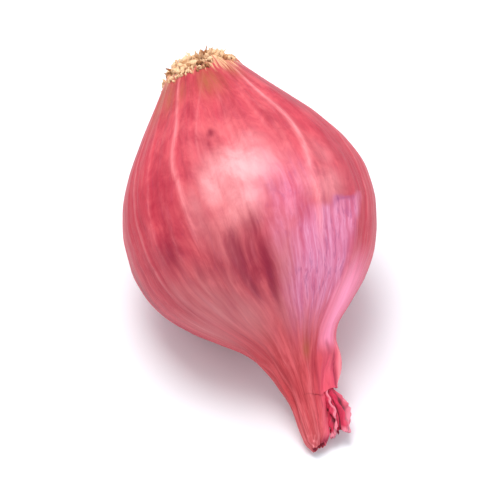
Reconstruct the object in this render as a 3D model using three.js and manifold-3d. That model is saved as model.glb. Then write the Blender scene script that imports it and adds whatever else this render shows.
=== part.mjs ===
import * as THREE from "three";
import { mergeVertices } from "three/addons/utils/BufferGeometryUtils.js";
import Module from "manifold-3d";

// A pink shallot lying on its belly, in millimetres, +Z up.
// Every piece is shaped in the bulb's growing frame: the root plate at the origin and the neck up +Z.
// The group then lays the bulb down: the neck points to -Y and almost touches the ground, and the root end
// is raised. An angle round the bulb starts at +X, and 90 degrees is the side that lies uppermost.

// Driving dimensions
const neckEnd = 58.6; // root plate to the cut end of the neck
const tiltDown = 27.5; // degrees that the neck dips below level
const clearance = 0.3; // gap that each seated piece keeps to its seat
// Where the root plate's centre lies. Its height lets the ground press a flat spot into the belly.
const rootPoint = new THREE.Vector3(0.33, 24.64, 28.9);

// Half-width of the skin: distance from the root plate, radius
const skinOutline = [
  [0, 5.5], [3.5, 8.1], [8, 11.6], [12.5, 14.9], [17, 17.2], [21.5, 18.35], [25, 18.45], [29, 17.75],
  [33, 16.1], [36.5, 13.4], [39.5, 10.2], [42.5, 7.0], [45.5, 4.95], [48.5, 3.6], [52, 2.6], [55.5, 2.05],
  [neckEnd, 1.65],
];
// Centre line of the skin: distance from the root plate, offset along X and along Y
const driftX = [[0, -0.7], [12, -0.8], [24, -0.35], [32, -0.55], [42, -0.1], [50, -0.3], [neckEnd, -0.9]];
const driftY = [[0, 0], [30, 0], [45, -0.2], [neckEnd, -0.4]];

// Slow bulges that make the bulb uneven: lobes round the bulb, share of the radius, angle of the first crest
const bulges = [
  { lobes: 2, share: 0.012, crest: 35 },
  { lobes: 3, share: 0.011, crest: 80 },
  { lobes: 5, share: 0.007, crest: 12 },
];
// Ribs that run from the root plate to the neck: their angles, then height and width in degrees
const ribs = { angles: [8, 48, 71, 118, 153, 197, 232, 275, 318], height: 0.22, width: 6 };
// Pleats where the drying skin draws in to the neck: angle and depth of each, then their width in degrees
const pleats = {
  places: [[62, 0.7], [106, 0.4], [150, 0.45], [205, 0.4], [262, 0.45], [318, 0.4]],
  width: 9,
};
// The outer leaf's fold along one side of the neck, which stops short of the neck's end
const fold = { angle: 16, width: 32, start: 41.5, full: 48, end: 51.2, height: 1.95, lip: 0.45 };
// The dried opening in the neck's end: how wavy its rim is, then depth and share of the width on the way in
const mouth = { wave: 0.45, rings: [[0.1, 0.72], [0.8, 0.52], [2.2, 0.31]] };
// Root plate: a corky button sunk in the root end
const plate = { radius: 4.4, dome: 1.3, sunk: 1.6, sides: 36 };
// Stubs of dried roots that stand out of the plate
const stub = { count: 56, radius: 0.52, length: 1.4, sunk: 0.9, spread: 46, sides: 5, seed: 7 };
// Inner leaf: a curled strip of the next leaf, which stands out past the end of the fold.
// It opens to one side by more degrees near its end than at its foot.
const leaf = { foot: 45.5, end: 57.4, thickness: 0.7, faces: 103, slit: 14, gape: 42, rows: 14, arc: 14 };
const leafRadius = [[leaf.foot, 0.6], [50.9, 0.72], [53.6, 1.35], [leaf.end, 1.15]];
const leafX = [[leaf.foot, 2.6], [50.9, 2.75], [54, 3.4], [leaf.end, 2.85]];
const leafY = [[leaf.foot, 0.75], [51, 0.75], [leaf.end, 0.1]];

const skinColumns = 76;
const radians = THREE.MathUtils.degToRad;
const smooth = (from, to, x) => THREE.MathUtils.smoothstep(x, from, to);

// A smooth curve through points of rising x, with no overshoot between them.
function curveThrough(points) {
  const slope = points.slice(1).map(([x, y], i) => (y - points[i][1]) / (x - points[i][0]));
  const tangent = points.map((_, i) => {
    if (i === 0) return slope[0];
    if (i === points.length - 1) return slope[i - 1];
    const [before, after] = [slope[i - 1], slope[i]];
    return before * after <= 0 ? 0 : (2 * before * after) / (before + after);
  });
  return (x) => {
    let i = 0;
    while (i < points.length - 2 && x > points[i + 1][0]) i += 1;
    const span = points[i + 1][0] - points[i][0];
    const t = THREE.MathUtils.clamp((x - points[i][0]) / span, 0, 1);
    const [rise, fall] = [t * t * (3 - 2 * t), t * (1 - t)];
    return (
      points[i][1] * (1 - rise) +
      points[i + 1][1] * rise +
      span * fall * ((1 - t) * tangent[i] - t * tangent[i + 1])
    );
  };
}

// 1 at the centre angle, falling to 0 away from it, in degrees.
function bump(angle, centre, width) {
  const away = THREE.MathUtils.euclideanModulo(angle - centre + 180, 360) - 180;
  return Math.exp(-((away / width) ** 2));
}

// The point at a distance and an angle from a centre line.
function around(x, y, reach, angle, height) {
  const turn = radians(angle);
  return new THREE.Vector3(x + reach * Math.cos(turn), y + reach * Math.sin(turn), height);
}

// Evenly spaced values after the first one, the last included.
function spread(from, to, count) {
  return Array.from({ length: count }, (_, i) => from + ((to - from) * (i + 1)) / count);
}

function geometryFrom(points, index) {
  const geometry = new THREE.BufferGeometry();
  const positions = points.flatMap((p) => [p.x, p.y, p.z]);
  geometry.setAttribute("position", new THREE.Float32BufferAttribute(positions, 3));
  geometry.setIndex(index);
  return geometry;
}

// Triangles of the walls between rings that all have the same number of points.
function wallIndex(rings) {
  const columns = rings[0].length;
  const index = [];
  for (let i = 0; i < rings.length - 1; i += 1) {
    for (let j = 0; j < columns; j += 1) {
      const k = (j + 1) % columns;
      const [low, high] = [i * columns, (i + 1) * columns];
      index.push(low + j, low + k, high + k, low + j, high + k, high + j);
    }
  }
  return index;
}

// A closed surface: rings of points from one pole to the other.
function closedSurface(rings, firstPole, lastPole) {
  const columns = rings[0].length;
  const pole = rings.length * columns;
  const index = wallIndex(rings);
  for (let j = 0; j < columns; j += 1) {
    const k = (j + 1) % columns;
    index.push(pole, k, j);
    index.push(pole + 1, pole - columns + j, pole - columns + k);
  }
  return geometryFrom([...rings.flat(), firstPole, lastPole], index);
}

const skinRadius = curveThrough(skinOutline);
const centreX = curveThrough(driftX);
const centreY = curveThrough(driftY);

// Distance from the centre line to the skin.
function skinReach(height, angle) {
  const onBody = smooth(0, 10, height) * (1 - smooth(36, 46, height));
  const onNeck = smooth(37, 46, height);
  let share = 1;
  for (const bulge of bulges) {
    share += bulge.share * onBody * Math.cos(bulge.lobes * radians(angle - bulge.crest));
  }
  let reach = skinRadius(height) * share;
  for (const centre of ribs.angles) {
    reach += ribs.height * onBody * bump(angle, centre, ribs.width);
  }
  for (const [centre, depth] of pleats.places) {
    reach -= depth * onNeck * Math.min(1, skinRadius(height) / 4) * bump(angle, centre, pleats.width);
  }
  const raised = smooth(fold.start, fold.full, height) * (1 - smooth(fold.end - fold.lip, fold.end, height));
  return reach + fold.height * raised * bump(angle, fold.angle, fold.width);
}

// The skin, from the recess for the root plate, over the body and the neck, into the neck's dried opening.
function skinGeometry() {
  const angles = spread(0, 360, skinColumns);
  const seat = plate.radius + clearance;
  const recess = [[0.7 * seat, plate.sunk + clearance], [seat, 0.35 * plate.sunk], [seat, 0]];
  const seatRings = recess.map(([radius, height]) =>
    angles.map((angle) => around(centreX(0), centreY(0), radius, angle, height)),
  );
  const outside = [
    0,
    ...spread(0, fold.end - fold.lip, 40),
    ...spread(fold.end - fold.lip, fold.end, 2),
    ...spread(fold.end, neckEnd, 6),
  ].map((height) => [height, 1]);
  const inside = mouth.rings.map(([depth, share]) => [neckEnd - depth, share]);
  const skinRings = [...outside, ...inside].map(([height, share]) =>
    angles.map((angle) => {
      const wave = mouth.wave * smooth(neckEnd - 4, neckEnd, height) * Math.cos(radians(3 * angle + 40));
      return around(centreX(height), centreY(height), share * skinReach(height, angle), angle, height + wave);
    }),
  );
  const low = new THREE.Vector3(centreX(0), centreY(0), plate.sunk + clearance);
  const high = new THREE.Vector3(centreX(neckEnd), centreY(neckEnd), neckEnd - mouth.rings.at(-1)[0]);
  return closedSurface([...seatRings, ...skinRings], low, high);
}

function plateGeometry() {
  const { radius, dome, sunk, sides } = plate;
  const outline = [
    [0, -dome], [0.45 * radius, -0.9 * dome], [0.85 * radius, -0.5 * dome],
    [radius, 0], [radius, 0.35 * sunk], [0.7 * radius, sunk], [0, sunk],
  ];
  return new THREE.LatheGeometry(outline.map(([r, z]) => new THREE.Vector2(r, z)), sides)
    .rotateX(Math.PI / 2)
    .translate(centreX(0), centreY(0), 0);
}

function seededRandom(seed) {
  let state = seed;
  return () => {
    state = (state * 1664525 + 1013904223) % 4294967296;
    return state / 4294967296;
  };
}

// Each stub is a short tapered peg that stands out of the dome and leans away from its middle.
function stubGeometry(share, turn, random) {
  const away = plate.radius * 0.93 * Math.sqrt(share);
  const lean = radians(stub.spread * share + 10 * (random() - 0.5));
  const length = stub.length * (1.05 - 0.35 * share + 0.5 * (random() - 0.5));
  const radius = stub.radius * (0.85 + 0.4 * random());
  const profile = [[0, -stub.sunk], [radius, -stub.sunk], [0.8 * radius, length - 0.25], [0, length]];
  return new THREE.LatheGeometry(profile.map(([r, z]) => new THREE.Vector2(r, z)), stub.sides)
    .rotateX(-Math.PI / 2)
    .rotateY(-lean)
    .rotateZ(turn)
    .translate(
      centreX(0) + away * Math.cos(turn),
      centreY(0) + away * Math.sin(turn),
      -plate.dome * (1 - 0.8 * share * share),
    );
}

const leafReach = curveThrough(leafRadius);
const leafCentreX = curveThrough(leafX);
const leafCentreY = curveThrough(leafY);

// A point of the leaf's middle surface moved out by offset, where t goes from its foot to its end.
function leafPoint(t, angle, offset, stretch) {
  const height = leaf.foot + (leaf.end - leaf.foot) * t;
  const crumple = 1 + 0.1 * Math.sin(radians(3 * angle + 150 * t)) * smooth(0.45, 1, t);
  const ragged = 0.5 * Math.sin(radians(2 * angle + 60)) * smooth(0.75, 1, t);
  const reach = leafReach(height) * crumple + offset;
  const along = height + ragged + stretch * (2 * t - 1);
  return around(leafCentreX(height), leafCentreY(height), reach, angle, along);
}

// The curled strip: each ring runs along its outer face and back along its inner face.
function leafGeometry() {
  const shares = Array.from({ length: leaf.arc + 1 }, (_, j) => j / leaf.arc);
  const rings = Array.from({ length: leaf.rows + 1 }, (_, i) => {
    const t = i / leaf.rows;
    const gap = leaf.slit + (leaf.gape - leaf.slit) * smooth(0.5, 0.75, t);
    const angleAt = (share) => leaf.faces + gap + (360 - 2 * gap) * share;
    const outer = shares.map((share) => leafPoint(t, angleAt(share), leaf.thickness / 2, 0));
    const inner = shares.map((share) => leafPoint(t, angleAt(share), -leaf.thickness / 2, 0));
    return [...outer, ...inner.reverse()];
  });
  const columns = rings[0].length;
  const index = wallIndex(rings);
  const top = leaf.rows * columns;
  for (let j = 0; j < leaf.arc; j += 1) {
    const [a, b, c, d] = [j, j + 1, columns - 2 - j, columns - 1 - j];
    index.push(a, c, b, a, d, c);
    index.push(top + a, top + b, top + c, top + a, top + c, top + d);
  }
  return geometryFrom(rings.flat(), index);
}

// The round hole that the curled leaf stands in, clear of it on every side.
function leafSeatGeometry() {
  const angles = spread(0, 360, 2 * leaf.arc);
  const rings = Array.from({ length: leaf.rows + 1 }, (_, i) => {
    const t = i / leaf.rows;
    return angles.map((angle) => leafPoint(t, angle, leaf.thickness / 2 + clearance, clearance));
  });
  const middle = (height) => new THREE.Vector3(leafCentreX(height), leafCentreY(height), height);
  return closedSurface(rings, middle(leaf.foot - clearance), middle(leaf.end + clearance));
}

const wasm = await Module();
wasm.setup();

function solidOf(geometry) {
  const bare = geometry.clone();
  bare.deleteAttribute("normal");
  bare.deleteAttribute("uv");
  const merged = mergeVertices(bare, 1e-4);
  return new wasm.Manifold(
    new wasm.Mesh({
      numProp: 3,
      vertProperties: merged.attributes.position.array,
      triVerts: new Uint32Array(merged.index.array),
    }),
  );
}

function geometryOf(solid) {
  const mesh = solid.getMesh();
  const geometry = new THREE.BufferGeometry();
  geometry.setAttribute("position", new THREE.BufferAttribute(mesh.vertProperties, 3));
  geometry.setIndex(new THREE.BufferAttribute(mesh.triVerts, 1));
  geometry.computeVertexNormals();
  return geometry;
}

const laid = new THREE.Group();
laid.rotation.x = radians(90 + tiltDown);
laid.position.copy(rootPoint);
laid.updateMatrix();

// The ground, as a block in the growing frame.
function groundGeometry() {
  const size = 200;
  return new THREE.BoxGeometry(size, size, size)
    .translate(0, 0, -size / 2)
    .applyMatrix4(laid.matrix.clone().invert());
}

function addPiece(name, solid, color, roughness) {
  const material = new THREE.MeshStandardMaterial({ color, roughness, metalness: 0 });
  const mesh = new THREE.Mesh(geometryOf(solid), material);
  mesh.name = name;
  laid.add(mesh);
}

const skinSolid = solidOf(skinGeometry())
  .subtract(solidOf(leafSeatGeometry()))
  .subtract(solidOf(groundGeometry()));
addPiece("bulb", skinSolid, 0xd4707f, 0.42);

addPiece("inner_leaf", solidOf(leafGeometry()), 0xa82a45, 0.6);

const random = seededRandom(stub.seed);
const goldenTurn = Math.PI * (3 - Math.sqrt(5));
let plateSolid = solidOf(plateGeometry());
for (let i = 0; i < stub.count; i += 1) {
  plateSolid = plateSolid.add(solidOf(stubGeometry((i + 0.5) / stub.count, i * goldenTurn, random)));
}
addPiece("root_plate", plateSolid, 0xd9b183, 0.9);

const shallot = new THREE.Group();
shallot.add(laid);

export default shallot;
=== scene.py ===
import math
import bpy
import numpy as np
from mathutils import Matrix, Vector


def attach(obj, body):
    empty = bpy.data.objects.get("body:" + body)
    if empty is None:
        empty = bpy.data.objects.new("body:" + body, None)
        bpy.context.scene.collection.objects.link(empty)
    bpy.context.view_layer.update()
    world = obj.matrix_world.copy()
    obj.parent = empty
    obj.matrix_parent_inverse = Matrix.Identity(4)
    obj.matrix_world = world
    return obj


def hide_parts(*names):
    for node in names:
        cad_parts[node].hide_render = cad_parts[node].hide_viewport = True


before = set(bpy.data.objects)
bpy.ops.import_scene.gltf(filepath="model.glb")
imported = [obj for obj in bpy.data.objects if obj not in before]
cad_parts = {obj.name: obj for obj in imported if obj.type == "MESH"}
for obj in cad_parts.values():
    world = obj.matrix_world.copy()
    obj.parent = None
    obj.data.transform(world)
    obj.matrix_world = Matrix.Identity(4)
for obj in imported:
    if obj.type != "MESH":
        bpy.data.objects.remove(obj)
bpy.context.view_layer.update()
print("frame loaded")

mm = 0.001
turn = 2 * math.pi


# Smooth curve through points, without overshoot: cubic pieces whose slope at an inner point is the
# harmonic mean of the two chords that meet there, or 0 at a crest.
def curveThrough(points):
    xs, ys = np.array(points, float).T
    chord = np.diff(ys) / np.diff(xs)
    before, after = chord[:-1], chord[1:]
    same = before * after > 0
    inner = np.where(same, 2 * before * after / np.where(same, before + after, 1), 0)
    slope = np.concatenate([chord[:1], inner, chord[-1:]])

    def at(x):
        i = np.clip(np.searchsorted(xs, x, side="right") - 1, 0, len(xs) - 2)
        span = xs[i + 1] - xs[i]
        t = np.clip((x - xs[i]) / span, 0, 1)
        rise, fall = t * t * (3 - 2 * t), t * (1 - t)
        return (ys[i] * (1 - rise) + ys[i + 1] * rise
                + span * fall * ((1 - t) * slope[i] - t * slope[i + 1]))
    return at


# 0 below low, 1 above high, and 3t^2 - 2t^3 between them.
def smooth(low, high, x):
    t = np.clip((x - low) / (high - low), 0, 1)
    return t * t * (3 - 2 * t)


# Degrees from the centre angle, wrapped to -180..180.
def away(angle, centre):
    return (angle - centre + 180) % 360 - 180


# exp(-(degrees away / width)^2)
def bump(angle, centre, width):
    return np.exp(-(away(angle, centre) / width) ** 2)


# Seeded sum of cosine waves that close round the bulb: about -1 to 1.
# Each wave has a whole number of crests round it and its own length along it, in mm.
def ripples(angle, along, crests, lengths, count, seed):
    draw = np.random.default_rng(seed)
    total = 0
    for _ in range(count):
        around = draw.integers(crests[0], crests[1] + 1)
        length = draw.uniform(*lengths) * draw.choice([-1, 1])
        total = total + np.cos(np.radians(angle) * around + turn * along / length + draw.uniform(0, turn))
    return total / math.sqrt(count)


# The bulb's growing frame: root plate at the origin, neck up +Z, in mm, angles in degrees from +X.
# Laying it down turns it about X and moves it to rootPoint, as in the solids.
laid = {
    "tiltDown": 27.5,                # degrees that the neck dips below level
    "rootPoint": (0.33, 24.64, 28.9),
    "floorGap": 0.02,                # the flat spot's height over the floor
}


# Points (x, y, z) in mm in the growing frame to metres in the row's frame.
def layDown(points):
    angle = math.radians(90 + laid["tiltDown"])
    x, y, z = np.moveaxis(points, -1, 0)
    lying = np.stack([x, y * math.cos(angle) - z * math.sin(angle),
                      y * math.sin(angle) + z * math.cos(angle)], -1) + laid["rootPoint"]
    lying[..., 2] = np.maximum(lying[..., 2], laid["floorGap"])
    return lying * mm


# Quads between neighbouring rows of a grid, closed round each row, and fans to the poles.
def gridFaces(rows, columns, poles):
    i, j = np.meshgrid(np.arange(rows - 1), np.arange(columns), indexing="ij")
    k = (j + 1) % columns
    quads = np.stack([i * columns + j, i * columns + k, (i + 1) * columns + k, (i + 1) * columns + j], -1)
    j, k = np.arange(columns), (np.arange(columns) + 1) % columns
    first, last = rows * columns, (rows - 1) * columns
    fans = []
    if poles:
        fans = [*np.stack([np.full(columns, first), k, j], -1).tolist(),
                *np.stack([np.full(columns, first + 1), last + j, last + k], -1).tolist()]
    return quads.reshape(-1, 4).tolist() + fans


def makePiece(name, points, faces, attributes, material):
    mesh = bpy.data.meshes.new(name)
    mesh.from_pydata(points.tolist(), [], faces)
    for key, values in attributes.items():
        kind, field = ("FLOAT_VECTOR", "vector") if values.ndim == 2 else ("FLOAT", "value")
        mesh.attributes.new(key, kind, "POINT").data.foreach_set(field, values.astype(np.float32).ravel())
    mesh.shade_smooth()
    mesh.materials.append(material)
    piece = bpy.data.objects.new(name, mesh)
    bpy.context.scene.collection.objects.link(piece)
    return piece


# One output of a shader node. Sums with it add Math nodes.
class Socket:
    def __init__(self, graph, output):
        self.graph, self.output = graph, output

    def sum(self, operation, *values):
        return self.graph.node("ShaderNodeMath", {"operation": operation}, values)

    def __add__(self, other): return self.sum("ADD", self, other)
    def __radd__(self, other): return self.sum("ADD", other, self)
    def __sub__(self, other): return self.sum("SUBTRACT", self, other)
    def __rsub__(self, other): return self.sum("SUBTRACT", other, self)
    def __mul__(self, other): return self.sum("MULTIPLY", self, other)
    def __rmul__(self, other): return self.sum("MULTIPLY", other, self)

    # 0 below low, 1 above high, smooth between
    def step(self, low, high):
        settings = {"interpolation_type": "SMOOTHSTEP"}
        return self.graph.node("ShaderNodeMapRange", settings, [self, low, high, 0, 1])


# A material with a Principled shader, whose sockets that are even all over are set here.
class Graph:
    def __init__(self, name, **even):
        self.material = bpy.data.materials.new(name)
        self.material.use_nodes = True
        self.tree = self.material.node_tree
        self.shader = self.tree.nodes["Principled BSDF"]
        for key, value in even.items():
            self.shader.inputs[key.replace("_", " ")].default_value = value

    # Settings first, then the sockets: a list in order, or a dictionary by name or number.
    def node(self, kind, settings, values, output=0):
        made = self.tree.nodes.new(kind)
        for key, value in settings.items():
            setattr(made, key, value)
        pairs = values.items() if isinstance(values, dict) else enumerate(values)
        for key, value in pairs:
            if isinstance(value, Socket):
                self.tree.links.new(value.output, made.inputs[key])
            else:
                made.inputs[key].default_value = value
        return Socket(self, made.outputs[output])

    def attribute(self, name, output="Fac"):
        return self.node("ShaderNodeAttribute", {"attribute_name": name}, [], output)

    def scaled(self, vector, scale):
        return self.node("ShaderNodeVectorMath", {"operation": "MULTIPLY"}, [vector, scale])

    def noise(self, vector, scale, detail, roughness, distortion=0.0):
        sockets = {"Vector": self.scaled(vector, scale), "Scale": 1.0, "Detail": detail,
                   "Roughness": roughness, "Distortion": distortion}
        return self.node("ShaderNodeTexNoise", {}, sockets, "Fac")

    # The vector moved by up to half of amount each way, by a slow noise
    def warped(self, vector, scale, amount):
        sockets = {"Vector": self.scaled(vector, scale), "Scale": 1.0, "Detail": 2.0}
        wander = self.node("ShaderNodeTexNoise", {}, sockets, "Color")
        centred = self.node("ShaderNodeVectorMath", {"operation": "SUBTRACT"}, [wander, (0.5, 0.5, 0.5)])
        moved = self.scaled(centred, amount)
        return self.node("ShaderNodeVectorMath", {"operation": "ADD"}, [vector, moved])

    # First colour where the factor is 0, second where it is 1.
    def mix(self, factor, first, second):
        settings = {"data_type": "RGBA", "clamp_factor": True}
        return self.node("ShaderNodeMix", settings, {0: factor, 6: first, 7: second}, 2)

    def bump(self, height, strength, distance):
        return self.node("ShaderNodeBump", {}, {"Strength": strength, "Distance": distance, "Height": height})

    def finish(self, **varying):
        for key, value in varying.items():
            self.tree.links.new(value.output, self.shader.inputs[key.replace("_", " ")])
        return self.material


# A colour given as 0..255 display values.
def tint(red, green, blue):
    display = np.array([red, green, blue]) / 255
    return (*np.where(display <= 0.04045, display / 12.92, ((display + 0.055) / 1.055) ** 2.4).tolist(), 1.0)


camera = {
    "azimuth": -19.7, "elevation": 51.0,   # degrees
    "target": (-1.75, -0.97, 17.2),        # mm
    "distance": 500.0,                     # mm
    "span": 73.3,                          # mm across the picture at the target
}


def makeCamera():
    azimuth, elevation = math.radians(camera["azimuth"]), math.radians(camera["elevation"])
    back = Vector((math.sin(azimuth) * math.cos(elevation), -math.cos(azimuth) * math.cos(elevation),
                   math.sin(elevation)))
    data = bpy.data.cameras.new("camera")
    data.sensor_width = 36
    data.lens = data.sensor_width * camera["distance"] / camera["span"]
    data.clip_start, data.clip_end = 0.01, 20
    body = bpy.data.objects.new("camera", data)
    body.location = (Vector(camera["target"]) + back * camera["distance"]) * mm
    body.rotation_euler = back.to_track_quat("Z", "Y").to_euler()
    bpy.context.scene.collection.objects.link(body)
    bpy.context.scene.camera = body


makeCamera()
print("camera placed")

skin = {
    "neckEnd": 58.6,
    # Half-width: distance from the root plate, radius
    "outline": [
        (0, 5.5), (3.5, 8.1), (8, 11.6), (12.5, 14.9), (17, 17.2), (21.5, 18.35), (25, 18.45), (29, 17.75),
        (33, 16.1), (36.5, 13.4), (39.5, 10.2), (42.5, 7.0), (45.5, 4.95), (48.5, 3.6), (52, 2.6),
        (55.5, 2.05), (58.6, 1.65),
    ],
    "driftX": [(0, -0.7), (12, -0.8), (24, -0.35), (32, -0.55), (42, -0.1), (50, -0.3), (58.6, -0.9)],
    "driftY": [(0, 0), (30, 0), (45, -0.2), (58.6, -0.4)],
    "bulges": [(2, 0.012, 35), (3, 0.011, 80), (5, 0.007, 12)],    # lobes, share, crest
    "ribs": [8, 48, 71, 118, 153, 197, 232, 275, 318],
    "ribHeight": 0.22, "ribWidth": 6,
    # The bulb is fuller on one side of its root half.
    "shoulder": {"at": 15, "length": 9, "angle": 30, "width": 32, "height": 0.3},
    # Grooves down the neck: angle, depth, width; the sharp ones have a pointed bottom
    "pleats": [(62, 0.7, 9), (106, 0.4, 9), (150, 0.45, 9), (205, 0.4, 9), (262, 0.45, 9), (318, 0.4, 9)],
    "sharpPleats": [
        (61, 0.42, 5), (88, 0.2, 5), (121, 0.26, 5), (139, 0.16, 4), (168, 0.22, 5), (186, 0.14, 4),
        (224, 0.22, 5), (246, 0.16, 4), (282, 0.22, 5), (303, 0.14, 4), (338, 0.22, 5), (4, 0.18, 4),
        (30, 0.26, 5),
    ],
    "sharpShare": 0.52,                  # of those depths
    # Slow dents, and crepe on the neck: height, zone, crests round, lengths, count, seed
    "waves": [
        (0.09, "body", (3, 9), (14, 40), 10, 3), (0.022, "body", (20, 60), (9, 40), 24, 4),
        (0.1, "neck", (5, 14), (6, 40), 14, 5), (0.16, "neck", (2, 7), (4, 11), 12, 7),
    ],
    # The outer leaf's fold beside the neck. Both profiles go through the lip, from 0 on its outside to 1
    # within: share of the fold's height, and shift along the neck.
    "fold": {
        "angle": 16, "width": 32, "start": 41.5, "full": 48, "end": 51.2, "height": 1.95, "lip": 0.45,
        "slant": 1.1,
        "lipProfile": [(0, 1), (0.12, 1), (0.3, 0.8), (0.5, 0.72), (0.72, 0.12), (1, 0)],
        "pocketProfile": [(0, 0), (0.12, 0.1), (0.25, 0), (0.5, -1.7), (0.75, -1.8), (1, 0)],
    },
    # Into the neck's dried end and over the rim of a shrunk layer within: depth, share of the width
    "inside": [
        (-0.05, 0.95), (-0.02, 0.88), (0.12, 0.81), (0.5, 0.77), (1.1, 0.72), (1.5, 0.66), (1.2, 0.60),
        (0.6, 0.56), (0.45, 0.50), (0.55, 0.44), (1.0, 0.38), (1.8, 0.31), (2.4, 0.22), (2.7, 0.10),
    ],
    "bottom": 2.75,                      # depth of the dried end
    # The root plate's recess: its radius, then rows from its middle out as depth, share of the radius
    "seat": 4.7,
    "seatRows": [(1.9, 0.35), (1.9, 0.85), (0.9, 1.0), (0.35, 1.0), (0.05, 1.02)],
    # Rows of the grid: from, to, count on the body, then counts on the neck, through the lip and past it
    "bodyRows": [(0, 3, 14), (3, 38, 104)], "neckRows": 44, "lipRows": 16, "endRows": 26,
    "columns": 420,
    # Pale veins that stand out: (distance, angle) points, height, width in degrees, paleness
    "veins": [
        ([(0, 134), (3.1, 132.6), (9.8, 130.2), (14.6, 132), (18.3, 130.3), (30, 129)], 0.12, 1.6, 0.95),
        ([(0, 158), (6, 151), (14, 149), (24, 151), (34, 149)], 0.07, 1.0, 0.35),
        ([(0, 59), (7, 62.5), (11.4, 61.5), (17, 65), (22, 69), (27, 70), (35, 72)], 0.13, 1.9, 1.15),
        ([(0, 96), (8, 113), (14, 116), (22, 112)], 0.07, 0.9, 0.4),
        ([(0, 170), (10, 164), (24, 161), (38, 158)], 0.1, 1.1, 0.55),
        ([(0, 20), (10, 28), (24, 33), (36, 37)], 0.08, 1.0, 0.45),
        ([(0, 205), (12, 212), (30, 209), (44, 214)], 0.12, 1.2, 0.9),
        ([(0, 250), (14, 246), (30, 253), (40, 250)], 0.1, 1.1, 0.6),
        ([(0, 300), (12, 292), (26, 296), (44, 300)], 0.12, 1.2, 0.9),
        ([(0, 340), (14, 346), (30, 343), (38, 350)], 0.1, 1.1, 0.6),
        # The last, a pale line down the fold's outer margin, is a painted rim highlight
        ([(44, 18), (48, 16), (60, 14)], 0.04, 4, 1.0),
    ],
    "fineVeins": {"count": 64, "height": (0.012, 0.04), "width": (0.8, 2.2), "pale": (0.0, 0.24), "seed": 11},
    # Sharp crease from the belly down to the fold: (distance, angle) points, height, width
    "crease": {
        "path": [(24, 44), (32, 49), (35.5, 49.5), (37.1, 52.8), (39, 56.5), (41.6, 58.5), (46, 60)],
        "height": 0.42, "width": 7, "fadeIn": (24, 33), "fadeOut": (44, 50),
    },
}

skinRadius = curveThrough(skin["outline"])
centreX = curveThrough(skin["driftX"])
centreY = curveThrough(skin["driftY"])


# Fine relief and paleness of the veins: each vein is a ridge exp(-(away / width)^2) along its own path.
def veinField(height, angle):
    relief, pale = 0, 0
    for path, tall, width, light in skin["veins"]:
        first, last = path[0][0], path[-1][0]
        ends = smooth(first - 1, first + 3, height) * (1 - smooth(last - 9, last, height))
        ridge = bump(angle, curveThrough(path)(height), width) * ends
        relief = relief + tall * ridge
        pale = np.maximum(pale, light * ridge)
    fine = skin["fineVeins"]
    draw = np.random.default_rng(fine["seed"])
    for i in range(fine["count"]):
        start, length = draw.uniform(-8, 26), draw.uniform(12, 45)
        wander = draw.uniform(0.5, 2.5) * np.sin(turn * height / draw.uniform(18, 45) + draw.uniform(0, turn))
        centre = 360 * (i + draw.uniform(-0.4, 0.4)) / fine["count"] + wander
        ends = smooth(start, start + 6, height) * (1 - smooth(start + length - 8, start + length, height))
        ridge = bump(angle, centre, draw.uniform(*fine["width"])) * ends
        relief = relief + draw.uniform(*fine["height"]) * ridge
        pale = np.maximum(pale, draw.uniform(*fine["pale"]) * ridge)
    return relief, pale


# Distance from the centre line to the skin, without the fold: the outline with its bulges, ribs,
# shoulder and pleats, then veins, dents, crepe and the crease, each faded to its own stretch.
def skinReach(height, angle, relief):
    onBody = smooth(0, 10, height) * (1 - smooth(36, 46, height))
    onNeck = smooth(37, 46, height)
    radius = skinRadius(height)
    narrow = np.minimum(1, radius / 4)
    share = 1
    for lobes, size, crest in skin["bulges"]:
        share = share + size * onBody * np.cos(lobes * np.radians(angle - crest))
    reach = radius * share
    for centre in skin["ribs"]:
        reach = reach + skin["ribHeight"] * onBody * bump(angle, centre, skin["ribWidth"])
    shoulder = skin["shoulder"]
    reach = reach + shoulder["height"] * bump(angle, shoulder["angle"], shoulder["width"]) * np.exp(
        -((height - shoulder["at"]) / shoulder["length"]) ** 2)
    twist = 0.6 * (height - 46) * onNeck
    for centre, depth, width in skin["pleats"]:
        reach = reach - depth * onNeck * narrow * bump(angle, centre + twist, width)
    toEnd = 1 - 0.6 * smooth(50.5, 54, height)
    for centre, depth, width in skin["sharpPleats"]:
        wander = 6 * np.sin(turn * height / 11 + centre) + 3 * np.sin(turn * height / 4.7 + 2 * centre)
        cut = np.exp(-np.abs(away(angle, centre + twist + wander)) / width)
        reach = reach - skin["sharpShare"] * depth * onNeck * narrow * toEnd * cut
    reach = reach + relief * (1 - 0.5 * onNeck)
    zones = {"body": (onBody, 1), "neck": (onNeck, narrow)}
    for size, zone, crests, lengths, count, seed in skin["waves"]:
        here, thin = zones[zone]
        reach = reach + size * here * thin * ripples(angle, height, crests, lengths, count, seed)
    beside = smooth(skin["fold"]["end"] - 1, skin["fold"]["end"] + 1, height)
    reach = reach + 0.35 * beside * bump(angle, 12, 42)
    crease = skin["crease"]
    along = smooth(*crease["fadeIn"], height) * (1 - smooth(*crease["fadeOut"], height))
    sharp = np.exp(-np.abs(away(angle, curveThrough(crease["path"])(height))) / crease["width"])
    return reach + crease["height"] * along * sharp


# Extra reach of the outer leaf's fold beside the neck.
def foldShape(angle):
    fold = skin["fold"]
    return fold["height"] * bump(angle, fold["angle"], fold["width"])


# Distances of the rows up to the lip, shares of the way through it, and distances past it.
def rowTable():
    fold = skin["fold"]
    body = [np.linspace(low, high, count)[:-1] for low, high, count in skin["bodyRows"]]
    neck = np.linspace(skin["bodyRows"][-1][1], fold["end"] - fold["lip"], skin["neckRows"])
    lip = np.linspace(0, 1, skin["lipRows"])[1:]
    end = np.linspace(fold["end"], skin["neckEnd"], skin["endRows"])[1:]
    return np.concatenate([*body, neck]), lip, end


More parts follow.
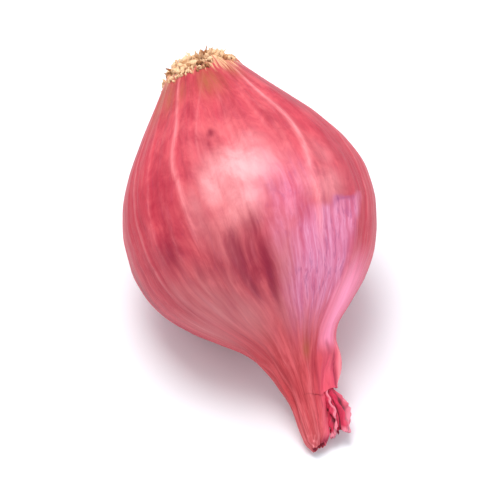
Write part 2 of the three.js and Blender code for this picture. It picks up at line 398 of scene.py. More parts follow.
# The skin as a grid of rows from the recess at the root to the bottom of the neck's dried end, and
# columns round it. Within the lip the rows turn back under the fold's edge and out along the neck.
def skinGrid():
    fold, neckEnd = skin["fold"], skin["neckEnd"]
    body, lip, end = rowTable()
    angle = (np.arange(skin["columns"]) * 360 / skin["columns"])[None, :]
    lipStart = fold["end"] - fold["lip"]

    height = np.concatenate([body, lipStart + fold["lip"] * lip, end])[:, None] + 0 * angle
    lipAt = np.concatenate([0 * body, lip, 1 + 0 * end])[:, None]
    relief, pale = veinField(height, angle)
    reach = skinReach(height, angle, relief)

    # The fold: raised and tapered, swollen, its margin thickened, its edge slanted and torn
    raised = smooth(fold["start"], fold["full"], height) * curveThrough(fold["lipProfile"])(lipAt)
    raised = raised * (1 - 0.8 * smooth(8, 24, away(angle, fold["angle"])) * smooth(46, 50.4, height))
    swell = 1 + 0.1 * np.sin(turn * (height - 44.6) / 5) - 0.22 * smooth(48.6, 50.8, height)
    reach = reach + raised * swell * foldShape(angle)
    margin = np.exp(-((height - 48.4) / 2) ** 2) * (lipAt < 0.3)
    reach = reach + margin * (0.85 * bump(angle, 8, 11) - 0.35 * bump(angle, 27, 5))
    pocket = curveThrough(fold["pocketProfile"])(lipAt)
    ragged = 0.3 * ripples(angle, 0, (4, 14), (9, 10), 8, 6)
    ragged = ragged + 0.16 * ripples(angle, 0, (16, 44), (9, 10), 12, 17)
    ragged = ragged + fold["slant"] * away(angle, fold["angle"]) / fold["width"]
    ragged = ragged * smooth(lipStart - 3, lipStart, height) * (lipAt < 0.3)
    placed = height + pocket * bump(angle, fold["angle"], 0.9 * fold["width"])
    placed = placed + ragged * bump(angle, fold["angle"], 1.4 * fold["width"])

    # The neck's end is slanted and torn and draws in, and the skin flakes round the root plate
    wave = 0.32 * np.cos(np.radians(angle - 235)) + 0.14 * np.cos(np.radians(3 * angle + 40))
    wave = wave * smooth(neckEnd - 4, neckEnd, height)
    torn = 0.06 * smooth(neckEnd - 1.5, neckEnd, height) * ripples(angle, 0, (5, 17), (9, 10), 8, 8)
    notches = np.maximum(0, ripples(angle, 0, (3, 24), (9, 10), 9, 10)) ** 2
    flakes = 0.07 * ripples(angle, 0, (14, 60), (9, 10), 20, 9) - 0.3 * notches - 0.1
    frayed = flakes * (1 - smooth(0, 1.2, height))
    placed = placed + wave + torn + frayed
    reach = reach * (1 - 0.36 * smooth(neckEnd - 1.7, neckEnd + 0.1, height) ** 2)
    reach = reach - 0.25 * bump(angle, 62, 22) * smooth(neckEnd - 1.6, neckEnd - 0.2, height)
    reach = reach - 0.25 * (1 - smooth(0, 0.8, height))

    depth, share = np.hsplit(np.array(skin["inside"]), 2)
    rim = reach[-1:]
    innerReach = rim * share * (1 + 0.1 * ripples(angle, depth, (3, 11), (2, 6), 6, 12))
    innerPlaced = neckEnd - depth + (wave + torn)[-1:] * (0.4 + 0.6 * share)
    innerHeight = neckEnd + 0 * innerPlaced

    seatDepth, seatShare = np.hsplit(np.array(skin["seatRows"]), 2)
    seatReach = seatShare * skin["seat"]
    seatPlaced = seatDepth + frayed[:1] * (seatDepth < 0.3)

    allHeight = np.concatenate([0 * seatPlaced, height, innerHeight])
    allReach = np.concatenate([seatReach + 0 * angle, reach, innerReach])
    allPlaced = np.concatenate([seatPlaced, placed, innerPlaced])
    radians = np.radians(angle)
    grid = np.stack([centreX(allHeight) + allReach * np.cos(radians),
                     centreY(allHeight) + allReach * np.sin(radians), allPlaced], -1)

    # Painted shade in the pocket under the fold and inside the neck's end, darker dried skin at the end on
    # one side, and pale spots near the end: dried edges, partly painted highlight
    empty = np.zeros_like(seatPlaced)
    reached = height + wave + 0.15 * ripples(angle, height, (5, 30), (0.5, 3), 10, 15)
    dried = smooth(neckEnd - 1.3, neckEnd - 0.5, reached) * bump(angle, 25, 42)
    spots = smooth(0.1, 0.5, ripples(angle, height, (5, 18), (0.6, 2), 10, 16))
    pale = np.maximum(pale, spots * smooth(neckEnd - 2.1, neckEnd - 1.2, height) * bump(angle, 128, 30))
    pocketShade = smooth(0.2, 0.45, lipAt) * (1 - smooth(0.85, 1, lipAt))
    pocketShade = pocketShade * bump(angle, fold["angle"], fold["width"])
    pocketShade = pocketShade * (1 - smooth(10, 26, away(angle, fold["angle"])))
    within = smooth(0.97, 0.75, share) + 0 * innerReach
    fields = {"height": allHeight, "pale": np.concatenate([empty, pale, 0 * innerReach]),
              "hollowShadeAndDried": np.concatenate([empty + 1, np.maximum(pocketShade, dried), within])}
    return grid, angle + 0 * allHeight, fields


# Patches of colour, each as (distance, angle, length, width, strength): exp of minus its squared offsets.
def patches(height, angle, places):
    total = 0
    for along, centre, length, width, strength in places:
        spot = np.exp(-((height - along) / length) ** 2) * bump(angle, centre, width)
        total = np.maximum(total, strength * spot)
    return total


skinColour = {
    "pink": tint(218, 70, 90), "deep": tint(152, 32, 54), "salmon": tint(240, 124, 124),
    "paintedHighlight": tint(255, 180, 184), "pale": tint(250, 150, 156), "maroon": tint(128, 20, 50),
    "lilacAndReflectionColour": tint(206, 106, 142), "paleLilacAndReflectionColour": tint(232, 164, 198), "dash": tint(150, 62, 112),
    "coral": tint(218, 84, 90), "rust": tint(146, 34, 44), "cream": tint(246, 206, 158),
    "olive": tint(170, 92, 62), "facetLightPink": tint(253, 150, 184), "ashAndBounceLight": tint(208, 132, 134),
    "neckPink": tint(240, 84, 116), "edgeRedAndShade": tint(188, 22, 52),
    # Noises: scale across and along, detail, roughness, and what counts as 0 and as 1
    "noises": {
        "cloud": ((1.9, 1.9, 1.1), 5, 0.62, 0.32, 0.68), "broad": ((9, 9, 0.7), 3, 0.6, 0.32, 0.68),
        "streak": ((20, 20, 1), 4, 0.6, 0.32, 0.68), "fine": ((60, 60, 3), 3, 0.6, 0.3, 0.7),
        "dash": ((26, 26, 4.5), 3, 0.6, 0.5, 0.72), "crease": ((6, 6, 1.7), 5, 0.65, 0.32, 0.66),
        "mottle": ((7, 7, 4), 5, 0.65, 0.3, 0.7),
    },
    # Painted shade in the fold's grooves, drawn as dark lines: (distance, angle) points, width in degrees,
    # strength
    "foldCreaseShade": [
        ([(44.6, 43), (45.8, 39), (47, 36)], 4, 0.6), ([(46.3, 29), (48.5, 24), (51.5, 22)], 3, 1.0),
        ([(47, 62), (50, 56), (54, 50)], 3, 0.5),
    ],
    # Patches: distance, angle, length, width, strength
    "blotches": [
        (30.8, 113, 4.5, 5.5, 1.1), (33, 100.5, 5.5, 5, 0.95), (28.2, 102, 3.5, 5.5, 0.75),
        (36, 102.5, 4, 4, 0.8), (32, 107, 5.5, 8, 0.75), (33, 113.5, 3, 3.5, 1.0), (35.5, 112.5, 2.5, 3, 0.9),
        (24.6, 101.5, 0.9, 3.5, 0.4), (25, 96.5, 0.8, 2, 0.35), (26, 123, 3, 5, 0.5), (27, 146, 4, 9, 0.75),
        (30.5, 124, 3.5, 4.5, 0.6), (30.5, 135, 3, 5, 0.45), (31.8, 129, 2.5, 3, 0.4),
        (28.5, 139.5, 2, 2.5, 0.4), (12.3, 107, 0.9, 3, 0.9), (14, 110, 0.8, 2.5, 0.5),
        (30, 188, 6, 5, 0.8), (22, 226, 5, 4, 0.7), (33, 243, 5, 4, 0.8), (26, 282, 6, 5, 0.9),
        (31, 331, 5, 4, 0.7), (18, 312, 4, 4, 0.5),
    ],
    # Painted highlight: patches painted pale salmon-white
    "paintedHighlights": [
        (19.2, 99.5, 4.6, 21, 1.0), (15.8, 91, 3.4, 14, 0.55), (22, 102, 4, 12, 0.9), (20.8, 109, 4, 10, 0.6),
        (24.5, 107, 3.5, 14, 0.5), (20.3, 114.5, 4, 7.5, 0.9), (18, 96, 10, 34, 0.35),
        (24.6, 61, 4.5, 13, 0.55), (20, 59, 4, 10, 0.42), (23.5, 73, 4, 7, 0.5), (22.8, 125, 5, 7, 0.5),
        (12, 260, 8, 30, 0.6), (17, 345, 7, 24, 0.4),
    ],
    # Greyish pink tone; the patch at 38.5 mm and 167 degrees, along the lower contour, is painted light
    # bounced up from the floor
    "ashesAndBounceLight": [
        (36, 140, 6, 24, 1.0), (38.5, 167, 4.5, 16, 1.0), (42, 80, 3, 11, 0.9), (39, 130, 4.5, 24, 1.0),
        (28, 115, 5, 16, 0.6), (26, 103, 3, 12, 0.7), (40, 96, 4, 16, 0.8), (34, 91, 7, 7, 1.0),
        (33, 154, 3, 7, 1.0), (34, 262, 8, 30, 0.7),
    ],
    # Soft lavender outside the main lavender patch, which is partly painted reflection
    "mauves": [
        (25, 84, 5, 11, 0.55), (29.5, 90, 4, 6, 0.5), (22.5, 75, 3.5, 7, 0.3), (28, 236, 7, 13, 0.6),
    ],
    # Deeper red towards the edges seen from the front: partly the skin's own tone, partly painted shade
    "deepEdgesAndShade": [
        (16, 166, 15, 17, 1.0), (22, 26, 14, 15, 1.0), (30, 34, 6, 10, 1.0), (20, 205, 14, 14, 0.6),
        (18, 300, 12, 16, 0.7),
    ],
    "scorches": [
        (3.4, 97, 2.6, 15, 0.9), (2.5, 158, 4, 13, 1.0), (3.4, 143, 2.5, 8, 0.8), (2.2, 64, 1.8, 12, 0.75),
        (3.5, 128, 2.2, 6, 0.6), (45, 81, 1.3, 6, 0.8), (3, 208, 4, 16, 0.8), (2.5, 300, 3, 20, 0.8),
        (2, 345, 2.5, 14, 0.7), (2, 255, 3, 14, 0.7),
    ],
    # Where the dry rim reaches further from the root: angle, width, share more
    "dryReach": [(60, 22, 1.2), (175, 30, 0.4)],
    # Lavender patch, partly the skin's own tint and partly painted reflection of the cool light from the
    # right: distance of its upper edge at one angle, the edge's rise per degree, lower end, angles of its
    # right and left sides
    "lavenderAndReflectionPatch": {"top": 26.9, "at": 62, "rise": 0.03, "low": 43.5, "right": 44, "left": 83},
}


# The lavender patch, partly the skin's own tint and partly painted reflection of the cool light from the
# right, uneven and partly crisp above and soft elsewhere, and its brow, the dark line along the crisp stretch
# of its upper edge.
def lavenderAndReflectionPatch(height, angle):
    top, at, rise, low, right, left = skinColour["lavenderAndReflectionPatch"].values()
    uneven = 0.35 * ripples(angle, height, (4, 22), (3, 9), 16, 41)
    across = angle - np.maximum(0, height - top)
    soft = 0.5 + 3 * smooth(right + 18, left, across)
    over = height - top - rise * away(angle, at) + uneven
    sides = smooth(right - 5, right + 5, across + 3 * uneven) * (1 - smooth(left - 12, left + 9, across))
    whole = smooth(-soft, soft, over) * (0.86 + 0.14 * smooth(1, 3.5, over))
    crisp = smooth(right + 1, right + 8, across) * (1 - smooth(right + 13, right + 20, across))
    brow = crisp * np.exp(-((over - 0.2) / 0.42) ** 2)
    return whole * sides * (1 - smooth(low - 7, low + 3, height)), brow


# Strength of the painted shade in the fold's grooves, each line faded at both ends.
def foldCreaseShadeLines(height, angle):
    total = 0
    for path, width, strength in skinColour["foldCreaseShade"]:
        first, last = path[0][0], path[-1][0]
        ends = smooth(first - 0.8, first + 0.4, height) * (1 - smooth(last - 1, last, height))
        total = np.maximum(total, strength * ends * bump(angle, curveThrough(path)(height), width))
    return total


# Painted light: the flat facet beside the crease, which faces the light from the right, painted bright pink,
# with the crease as its crisp edge.
def paintedFacetLight(height, angle):
    beside = 1 - smooth(-1, 3, away(angle, curveThrough(skin["crease"]["path"])(height)))
    return beside * bump(angle, 38, 24) * smooth(32, 39.5, height) * (1 - smooth(44, 47.5, height))


def makeSkinMaterial():
    graph = Graph("papery shallot skin", Coat_Roughness=0.3, Specular_IOR_Level=0.15)
    # (cos, sin) round the bulb, and distance in cm, set wandering
    growth = graph.warped(graph.attribute("growth", "Vector"), (3, 3, 1.1), (0.16, 0.16, 0.8))
    height, pale, hollowShadeAndDried = (graph.attribute(key) for key in ("height", "pale", "hollowShadeAndDried"))
    cloud, broad, streak, fine, dash, crease, mottle = (
        graph.noise(growth, scale, detail, roughness).step(low, high)
        for scale, detail, roughness, low, high in skinColour["noises"].values())
    lines = 0.14 + 0.34 * height.step(14, 30) * (1 - 0.5 * height.step(35, 42))
    lines = lines * (1 - 0.6 * graph.attribute("deepEdgesAndShade"))

    # The body: deep and bright pink, darker from 18 to 32 mm along as painted shade on the half towards the
    # neck, then each kind of patch, line and vein over it
    light = (0.1 + 0.4 * cloud + 0.3 * broad + 0.25 * mottle) * (1 - 0.2 * height.step(18, 32))
    colour = graph.mix(light, skinColour["deep"], skinColour["pink"])
    colour = graph.mix(cloud * mottle * 0.4, colour, skinColour["salmon"])
    # Greyish pink, and on the lower contour painted light bounced from the floor
    colour = graph.mix(graph.attribute("ashesAndBounceLight") * (0.48 + 0.38 * broad), colour, skinColour["ashAndBounceLight"])
    # Deeper red at the edges: partly own tone, partly painted shade
    colour = graph.mix(graph.attribute("deepEdgesAndShade") * (0.6 + 0.3 * broad), colour, skinColour["edgeRedAndShade"])
    # Painted highlight: pale salmon-white over those patches, with fewer dark lines under it
    paintedHighlight = graph.attribute("paintedHighlights")
    colour = graph.mix(paintedHighlight * (0.42 + 0.15 * broad + 0.3 * mottle), colour, skinColour["paintedHighlight"])
    lined = (1 - streak) * lines * (0.2 + 0.45 * cloud + 0.45 * mottle) * (1 - 0.6 * paintedHighlight)
    colour = graph.mix(lined, colour, skinColour["deep"])
    colour = graph.mix(fine * streak * 0.1, colour, skinColour["salmon"])
    # Lavender: partly the skin's own tint, partly painted reflection of the cool light from the right
    lavenderAndReflection = graph.attribute("lavenderAndReflectionMask")
    colour = graph.mix(lavenderAndReflection * (0.65 + 0.25 * cloud), colour, skinColour["lilacAndReflectionColour"])
    colour = graph.mix(lavenderAndReflection * streak * (0.3 + 0.4 * fine), colour, skinColour["paleLilacAndReflectionColour"])
    dark = graph.attribute("blotches") * (0.8 + 0.3 * (1 - streak) + 0.3 * broad)
    colour = graph.mix(dark.step(0.1, 1.2) * 0.8, colour, skinColour["maroon"])
    dashes = dash * (0.08 + 0.5 * lavenderAndReflection) + graph.attribute("brow") * (0.6 + 0.3 * streak)
    colour = graph.mix(dashes * 0.9, colour, skinColour["dash"])
    colour = graph.mix(pale * (0.22 + 0.25 * fine + 0.3 * mottle), colour, skinColour["pale"])
    # Painted light: bright pink on the facet that faces the light from the right
    colour = graph.mix(graph.attribute("paintedFacetLight") * (0.7 + 0.3 * broad), colour, skinColour["facetLightPink"])

    # The neck, then painted shade in the fold's grooves, the scorched and dry root end, and painted shade in
    # the hollows with the dark dried end
    neck = (height + 3 * broad).step(39, 48)
    neckColour = graph.mix(crease * 0.52 + streak * 0.12 + 0.22, skinColour["rust"], skinColour["coral"])
    onFold = graph.attribute("foldTone") * (0.5 + 0.4 * broad)
    neckColour = graph.mix(onFold, neckColour, skinColour["neckPink"])
    lightened = pale * 0.75 + crease * cloud * 0.2 + height.step(50, 56) * mottle * 0.3
    neckColour = graph.mix(lightened, neckColour, skinColour["pale"])
    colour = graph.mix(neck * 0.9 * (1 - 0.85 * graph.attribute("paintedFacetLight")), colour, neckColour)
    # Painted shade in the fold's grooves, in maroon
    colour = graph.mix(graph.attribute("foldCreaseShade") * (0.5 + 0.4 * fine), colour, skinColour["maroon"])
    colour = graph.mix(graph.attribute("scorches") * (0.5 + 0.5 * streak), colour, skinColour["olive"])
    dryTo = graph.attribute("dryRim") + 1.2 * fine + streak
    colour = graph.mix((1 - dryTo.step(0.6, 2.3)) * 0.85, colour, skinColour["cream"])
    # Painted shade in the pocket under the fold and inside the neck's end, and the dark dried end, in maroon
    colour = graph.mix(hollowShadeAndDried * 0.92, colour, skinColour["maroon"])
    gloss = 0.42 + 0.08 * streak + 0.12 * neck + 0.25 * hollowShadeAndDried
    # More coat where the highlight is painted
    coat = 0.04 + 0.2 * paintedHighlight
    relief = streak * 0.5 * (1 - neck) + crease * 0.5 * neck + fine * 0.2 + dash * -0.4
    return graph.finish(Base_Color=colour, Roughness=gloss, Coat_Weight=coat,
                        Normal=graph.bump(relief, 0.45, 0.00012))


def makeSkin():
    grid, angle, fields = skinGrid()
    rows, columns = grid.shape[:2]
    neckEnd, fold = skin["neckEnd"], skin["fold"]
    poles = np.array([(centreX(0), centreY(0), skin["seatRows"][0][0]),
                      (centreX(neckEnd), centreY(neckEnd), neckEnd - skin["bottom"])])
    points = layDown(np.concatenate([grid.reshape(-1, 3), poles]))
    height = fields["height"]
    for key in ("blotches", "paintedHighlights", "ashesAndBounceLight", "deepEdgesAndShade", "scorches"):
        fields[key] = patches(height, angle, skinColour[key])
    fields["paintedHighlights"] = smooth(0, 1, fields["paintedHighlights"])
    fields["lavenderAndReflectionMask"], fields["brow"] = lavenderAndReflectionPatch(height, angle)
    fields["lavenderAndReflectionMask"] = np.maximum(fields["lavenderAndReflectionMask"], patches(height, angle, skinColour["mauves"]))
    fields["paintedFacetLight"] = paintedFacetLight(height, angle)
    further = 1
    for centre, width, more in skinColour["dryReach"]:
        further = further + more * bump(angle, centre, width)
    fields["dryRim"] = height / further
    fields["foldCreaseShade"] = foldCreaseShadeLines(height, angle)
    fields["foldTone"] = smooth(fold["start"], fold["full"], height) * bump(angle, 20, 36)
    fields = {key: np.append(values.ravel(), values[[0, -1], 0]) for key, values in fields.items()}
    around = np.append(np.radians(angle).ravel(), [0, 0])
    fields["growth"] = np.stack([np.cos(around), np.sin(around), fields["height"] / 10], -1)
    piece = makePiece("bulbSkin", points, gridFaces(rows, columns, True), fields, makeSkinMaterial())
    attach(piece, "root")
    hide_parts("bulb")
    print("skin made:", 2 * rows * columns, "triangles")


makeSkin()

innerLeaf = {
    "foot": 49.6, "end": 57.4, "thickness": 0.36, "faces": 103, "slit": 12, "gape": 30,
    "radius": [(45.5, 0.6), (50.9, 0.74), (53.6, 1.4), (57.4, 1.2)],
    "x": [(45.5, 2.6), (50.9, 2.75), (54, 3.35), (57.4, 2.8)],
    "y": [(45.5, 0.75), (51, 0.75), (57.4, 0.1)],
    "rows": 110, "arc": 120, "edge": 6, "overlap": 0.3,
    # Crimson; dark for streaks and painted shade; pale pink rim, partly painted highlight
    "crimson": tint(218, 48, 84), "dark": tint(104, 10, 36), "rim": tint(255, 164, 182),
}


# Rolled strip: a ring round its axis with a gap, whose second edge goes on inwards past the gap. The
# wall is rounded at both edges. Puffed lobes |sin(3 angle)| with sharp valleys, and ripples, grow
# towards the end.
def makeInnerLeaf():
    radiusAt, xAt, yAt = (curveThrough(innerLeaf[key]) for key in ("radius", "x", "y"))
    half = innerLeaf["thickness"] / 2
    t = np.linspace(0, 1, innerLeaf["rows"])[:, None]
    arc = np.linspace(0, 1 + innerLeaf["overlap"], innerLeaf["arc"])
    edge = np.linspace(0, math.pi, innerLeaf["edge"] + 2)[1:-1]
    share = np.concatenate([arc, arc[-1] + 0 * edge, arc[::-1], 0 * edge])[None, :]
    side = np.concatenate([1 + 0 * arc, np.cos(edge), -1 - 0 * arc, -np.cos(edge)])[None, :]
    out = np.concatenate([0 * arc, np.sin(edge), 0 * arc, -np.sin(edge)])[None, :]
    gap = innerLeaf["slit"] + (innerLeaf["gape"] - innerLeaf["slit"]) * smooth(0.15, 0.55, t)
    gap = gap + 8 * ripples(0, 10 * t, (0, 0), (1.5, 6), 7, 21)
    angle = innerLeaf["faces"] + gap + (360 - 2 * gap) * share
    height = innerLeaf["foot"] + (innerLeaf["end"] - innerLeaf["foot"]) * t
    opened = smooth(0.1, 0.6, t)
    lobe = np.abs(np.sin(np.radians(3 * angle + 90 * t + 25 * np.sin(9 * t))))
    crumple = 1 + (0.32 * (lobe - 0.65) + 0.15 * ripples(angle, height, (3, 14), (1.0, 3.5), 14, 22)) * opened
    rolled = (1 - 0.3 * opened * smooth(0.15, 0, share)) * (1 - 0.62 * smooth(0.8, 1.05, share))
    ends = 0.5 * np.sin(np.radians(2 * angle + 60)) + 0.18 * ripples(angle, 0, (7, 19), (9, 10), 6, 23)
    closing = 1 - 0.7 * smooth(0.965, 1, t)
    reach = np.maximum(0.12, radiusAt(height) * crumple * rolled + side * half * closing)
    radians = np.radians(angle) + out * half / np.maximum(reach, 0.5)
    grid = np.stack([xAt(height) + reach * np.cos(radians), yAt(height) + reach * np.sin(radians),
                     height + ends * smooth(0.6, 1, t)], -1)
    rows, columns = grid.shape[:2]
    points = layDown(grid.reshape(-1, 3))
    # The two end faces are strips of quads between the outer and the inner edge.
    j = np.arange(columns // 2 - 1)
    foot = np.stack([j, columns - 1 - j, columns - 2 - j, j + 1], -1)
    top = (rows - 1) * columns + np.stack([j, j + 1, columns - 2 - j, columns - 1 - j], -1)
    faces = gridFaces(rows, columns, False) + foot.tolist() + top.tolist()
    # Pale pink rims on the strip's end and first edge, dried paper partly painted as highlight, and down its
    # right side a painted rim highlight
    rim = np.maximum(0.8 * smooth(0.9, 0.98, t), 0.7 * smooth(0.03, 0.005, share))
    rim = np.maximum(rim, 0.85 * bump(angle, 12, 26) * opened) * (1 - smooth(0.95, 1.05, share))
    # Painted shade in the lobes' valleys; inner, below, marks the inner face, also painted darker as shade
    valleyShade = smooth(0.55, 0.1, lobe) * opened
    growth = np.stack([np.cos(radians), np.sin(radians), height / 10 + 0 * radians], -1)
    fields = {"rim": rim.ravel(), "valleyShade": valleyShade.ravel(), "inner": (0.5 - 0.5 * side + 0 * t).ravel(),
              "growth": growth.reshape(-1, 3)}
    graph = Graph("dried crimson leaf", Specular_IOR_Level=0.35)
    streak = graph.noise(graph.attribute("growth", "Vector"), (7, 7, 2), 4, 0.6, 0.3).step(0.3, 0.7)
    # Darker along dark streaks, and as painted shade in the valleys and on the inner face
    streaksAndShade = graph.attribute("valleyShade") * 0.9 + (1 - streak) * 0.45 + graph.attribute("inner") * 0.3
    colour = graph.mix(streaksAndShade, innerLeaf["crimson"], innerLeaf["dark"])
    colour = graph.mix(graph.attribute("rim") * (0.5 + 0.4 * streak), colour, innerLeaf["rim"])
    material = graph.finish(Base_Color=colour, Roughness=0.45 + 0.2 * streak,
                            Normal=graph.bump(streak, 0.5, 0.0001))
    piece = makePiece("innerLeafCurl", points, faces, fields, material)
    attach(piece, "root")
    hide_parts("inner_leaf")
    print("inner leaf made:", 2 * rows * columns, "triangles")


makeInnerLeaf()

tuft = {
    "radius": 4.4, "dome": 1.3, "sunk": 1.6,
    "rows": 40, "columns": 120,
    # count, length, radius, distance from the middle as a share, paleness, narrowing
    "groups": [
        (110, (0.6, 1.7), (0.22, 0.5), (0.0, 0.95), (0.45, 0.95), 0.2),
        (30, (0.7, 1.6), (0.5, 0.8), (0.2, 1.0), (0.6, 1.0), 0.1),
        (150, (0.2, 0.7), (0.18, 0.55), (0.85, 1.24), (0.4, 1.0), 0.0),
        (40, (1.2, 2.2), (0.13, 0.2), (0.1, 0.95), (0.4, 0.9), 0.15),
    ],
    "tones": [(132, 26, 0.25), (88, 16, -0.35), (60, 16, 0.15), (250, 30, -0.2)],    # angle, width, change
    # Crumbs dried on the skin below the rim: angle, width, reach down the skin, count
    "spills": [
        (128, 24, 1.5, 36), (92, 16, 1.4, 20), (45, 18, 0.9, 16), (204, 20, 1.3, 24), (268, 24, 1.5, 28),
        (330, 18, 1.6, 20),
    ],
    "crumbLength": (0.05, 0.4), "crumbRadius": (0.12, 0.42), "crumbPale": (0.4, 1.0),
    "spread": 46, "rings": 9, "sides": 9, "seed": 17,
    "cream": tint(250, 210, 168), "straw": tint(214, 148, 94), "brown": tint(118, 62, 40),
    "grey": tint(146, 110, 96),
}


# The plate: a dome whose depth falls with the fourth power of the distance, roughened by ripples.
def plateGrid():
    t = np.linspace(0, 1, tuft["rows"])[1:, None]
    angle = (np.arange(tuft["columns"]) * 360 / tuft["columns"])[None, :]
    reach = tuft["radius"] * np.minimum(1, 1.12 * t)
    drop = -tuft["dome"] * (1 - np.minimum(1, 1.12 * t) ** 4) + 0.9 * smooth(0.9, 1, t)
    rough = 0.12 * ripples(angle, 6 * t, (3, 16), (1, 4), 12, 31) * (1 - smooth(0.85, 1, t))
    radians = np.radians(angle)
    return np.stack([centreX(0) + reach * np.cos(radians), centreY(0) + reach * np.sin(radians),
                     drop + rough], -1)


# Lumpy pegs with both ends rounded: rings of points along bent axes from base in a direction, all at
# once.
def pegs(base, direction, across, length, radius, narrowing, draw):
    count = len(base)
    ring = np.linspace(0, 1, tuft["rings"])
    cap = np.sqrt(1 - np.maximum(0, (ring - 0.55) / 0.46) ** 2 - np.maximum(0, (0.35 - ring) / 0.36) ** 2)
    width = (1 - narrowing * ring) * cap
    other = np.cross(direction, across)
    sway = draw.uniform(-0.3, 0.3, (2, count, 1, 1))
    bend = sway[0] * across[:, None] + sway[1] * other[:, None]
    along = ring[None, :, None]
    axis = base[:, None] + (length + 0.35)[:, None, None] * (direction[:, None] * along + bend * along ** 2)
    knobs = 1 + draw.uniform(-0.42, 0.42, (count, tuft["rings"], tuft["sides"]))
    size = radius[:, None, None] * width[None, :, None] * knobs
    sides = np.arange(tuft["sides"]) * turn / tuft["sides"]
    spin = sides[None, None, :] + draw.uniform(0, turn, (count, 1, 1))
    return (axis[:, :, None] + (size * np.cos(spin))[..., None] * across[:, None, None]
            + (size * np.sin(spin))[..., None] * other[:, None, None])


# Darker and paler clusters of pegs, by place.
def clustered(pale, at, distance):
    angle = np.degrees(at)
    tone = pale + 0.12 * ripples(angle, distance, (1, 5), (2, 6), 8, 35)
    for centre, width, change in tuft["tones"]:
        tone = tone + change * bump(angle, centre, width)
    return tone


# Stubs on the dome: spread by the golden angle, leaning away from the middle.
def domePegs(group, draw):
    count, lengths, radii, (low, high), pale, narrowing = group
    share = (np.arange(count) + draw.uniform(0.1, 0.9, count)) / count
    far = np.sqrt(low ** 2 + (high ** 2 - low ** 2) * share)
    lean = np.radians(tuft["spread"] * far ** 2 + draw.uniform(-14, 14, count))
    at = np.arange(count) * math.pi * (3 - math.sqrt(5)) + draw.uniform(-0.2, 0.2, count)
    direction = np.stack([np.sin(lean) * np.cos(at), np.sin(lean) * np.sin(at), -np.cos(lean)], -1)
    across = np.stack([-np.sin(at), np.cos(at), 0 * at], -1)
    reach = tuft["radius"] * far
    base = np.stack([centreX(0) + reach * np.cos(at), centreY(0) + reach * np.sin(at),
                     -tuft["dome"] * (1 - far ** 4) + 0.35], -1)
    length = draw.uniform(*lengths, count) * (1.1 - 0.3 * share)
    made = pegs(base, direction, across, length, draw.uniform(*radii, count), narrowing, draw)
    return made, clustered(draw.uniform(*pale, count), at, reach)


# Crumbs on the skin below its rim, thinning out downwards, each half sunk and lying along the skin.
def spilledPegs(spill, draw):
    centre, width, low, count = spill
    at = np.radians(centre + draw.normal(0, width / 2, count))
    height = low * draw.uniform(0, 1, count) ** 1.6
    reach = skinRadius(height) - 0.1
    base = np.stack([centreX(height) + reach * np.cos(at), centreY(height) + reach * np.sin(at), height], -1)
    outward = draw.uniform(0.15, 0.7, count)
    down = np.sqrt(1 - outward ** 2)
    direction = np.stack([outward * np.cos(at), outward * np.sin(at), -down], -1)
    across = np.stack([-np.sin(at), np.cos(at), 0 * at], -1)
    shrink = 1 - 0.45 * height / low
    made = pegs(base, direction, across, draw.uniform(*tuft["crumbLength"], count),
                draw.uniform(*tuft["crumbRadius"], count) * shrink, 0.0, draw)
    return made, clustered(draw.uniform(*tuft["crumbPale"], count), at, 5.5 + height)


# Faces of all pegs: quads between the rings, turned outwards, and a polygon at each end.
def pegFaces(count, start):
    rings, sides = tuft["rings"], tuft["sides"]
    peg, i, j = np.meshgrid(np.arange(count), np.arange(rings - 1), np.arange(sides), indexing="ij")
    first = start + peg * rings * sides + i * sides
    k = (j + 1) % sides
    quads = np.stack([first + j, first + k, first + sides + k, first + sides + j], -1).reshape(-1, 4)
    ends = start + np.arange(count)[:, None] * rings * sides
    low = ends + np.arange(sides)[::-1]
    high = ends + (rings - 1) * sides + np.arange(sides)
    return quads.tolist() + low.tolist() + high.tolist()


def makeTuftMaterial():
    graph = Graph("corky dried roots", Specular_IOR_Level=0.25)
    shadeAt, riseAt = graph.attribute("shade"), graph.attribute("rise")
    place = graph.node("ShaderNodeTexCoord", {}, [], "Object")
    grain = graph.noise(place, (2600, 2600, 2600), 3, 0.6)
    blot = graph.noise(place, (500, 500, 500), 2, 0.5).step(0.35, 0.65)
    colour = graph.mix(shadeAt + 0.5 * (grain - 0.5), tuft["brown"], tuft["straw"])
    colour = graph.mix((shadeAt + 0.3 * blot).step(0.45, 0.95), colour, tuft["cream"])
    # Browner towards each stub's base: painted shade in the gaps between the stubs
    colour = graph.mix((1 - riseAt) * 0.35, colour, tuft["brown"])
    colour = graph.mix(blot * 0.25 * (1 - shadeAt), colour, tuft["grey"])
    return graph.finish(Base_Color=colour, Roughness=0.75 + 0.2 * grain,
                        Normal=graph.bump(grain, 0.6, 0.00012))


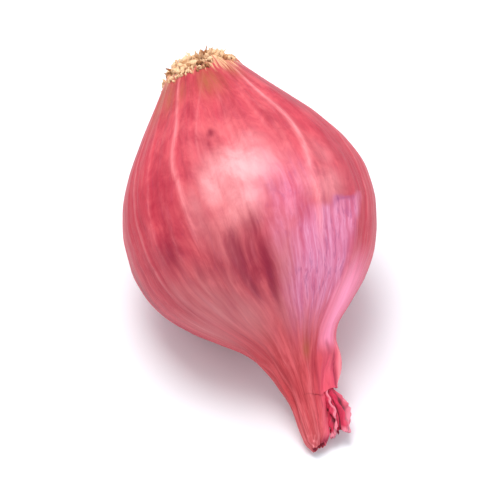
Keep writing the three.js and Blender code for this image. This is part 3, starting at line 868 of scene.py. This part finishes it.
def makeTuft():
    draw = np.random.default_rng(tuft["seed"])
    dome = plateGrid()
    rows, columns = dome.shape[:2]
    poles = np.array([(centreX(0), centreY(0), -tuft["dome"]), (centreX(0), centreY(0), tuft["sunk"])])
    start = rows * columns + 2
    points, faces = [dome.reshape(-1, 3), poles], gridFaces(rows, columns, True)
    shade, rise = [np.full(start, 0.1)], [np.zeros(start)]
    each = tuft["rings"] * tuft["sides"]
    made = [domePegs(group, draw) for group in tuft["groups"]]
    made = made + [spilledPegs(spill, draw) for spill in tuft["spills"]]
    for grid, pale in made:
        points.append(grid.reshape(-1, 3))
        faces = faces + pegFaces(len(grid), start)
        shade.append(np.repeat(pale, each))
        rise.append(np.tile(np.repeat(np.linspace(0, 1, tuft["rings"]), tuft["sides"]), len(grid)))
        start += len(grid) * each
    fields = {"shade": np.concatenate(shade), "rise": np.concatenate(rise)}
    piece = makePiece("rootTuft", layDown(np.concatenate(points)), faces, fields, makeTuftMaterial())
    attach(piece, "root")
    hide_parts("root_plate")
    print("root tuft made:", len(faces), "faces")


makeTuft()

# Soft studio light. Each softbox: place in mm, size in mm, watts, colour.
studio = {
    "floorHalf": 2.0, "aim": (0, 0, 15),    # m, mm
    "floor": tint(246, 250, 255), "world": (0.97, 0.985, 1.0), "worldStrength": 0.62,
    "boxes": [
        ("keySoftbox", (-30, 95, 495), (260, 260), 1.7, (1.0, 0.98, 0.97)),
        ("topSoftbox", (-60, 40, 490), (400, 400), 0.4, (1.0, 0.98, 0.97)),
        ("coolSoftbox", (400, -280, 120), (260, 240), 0.75, (0.80, 0.86, 1.0)),
        ("frontFill", (-220, -400, 260), (300, 300), 0.2, (1.0, 0.97, 0.95)),
    ],
}


def makeStudio():
    floorMesh = bpy.data.meshes.new("floor")
    half = studio["floorHalf"]
    corners = [(-half, -half, 0), (half, -half, 0), (half, half, 0), (-half, half, 0)]
    floorMesh.from_pydata(corners, [], [(0, 1, 2, 3)])
    floor = bpy.data.objects.new("floor", floorMesh)
    bpy.context.scene.collection.objects.link(floor)
    graph = Graph("pale floor", Base_Color=studio["floor"], Roughness=0.6, Specular_IOR_Level=0.2)
    floorMesh.materials.append(graph.material)
    for name, place, size, watts, colour in studio["boxes"]:
        data = bpy.data.lights.new(name, "AREA")
        data.shape, data.size, data.size_y = "RECTANGLE", size[0] * mm, size[1] * mm
        data.energy, data.color = watts, colour
        light = bpy.data.objects.new(name, data)
        light.location = Vector(place) * mm
        aim = Vector(studio["aim"]) * mm - light.location
        light.rotation_euler = aim.to_track_quat("-Z", "Y").to_euler()
        bpy.context.scene.collection.objects.link(light)
    world = bpy.data.worlds.new("studio")
    world.use_nodes = True
    background = world.node_tree.nodes["Background"]
    background.inputs["Color"].default_value = (*studio["world"], 1)
    background.inputs["Strength"].default_value = studio["worldStrength"]
    bpy.context.scene.world = world
    bpy.context.scene.view_settings.view_transform = "Standard"
    bpy.context.scene.view_settings.look = "None"


makeStudio()
print("studio lit")
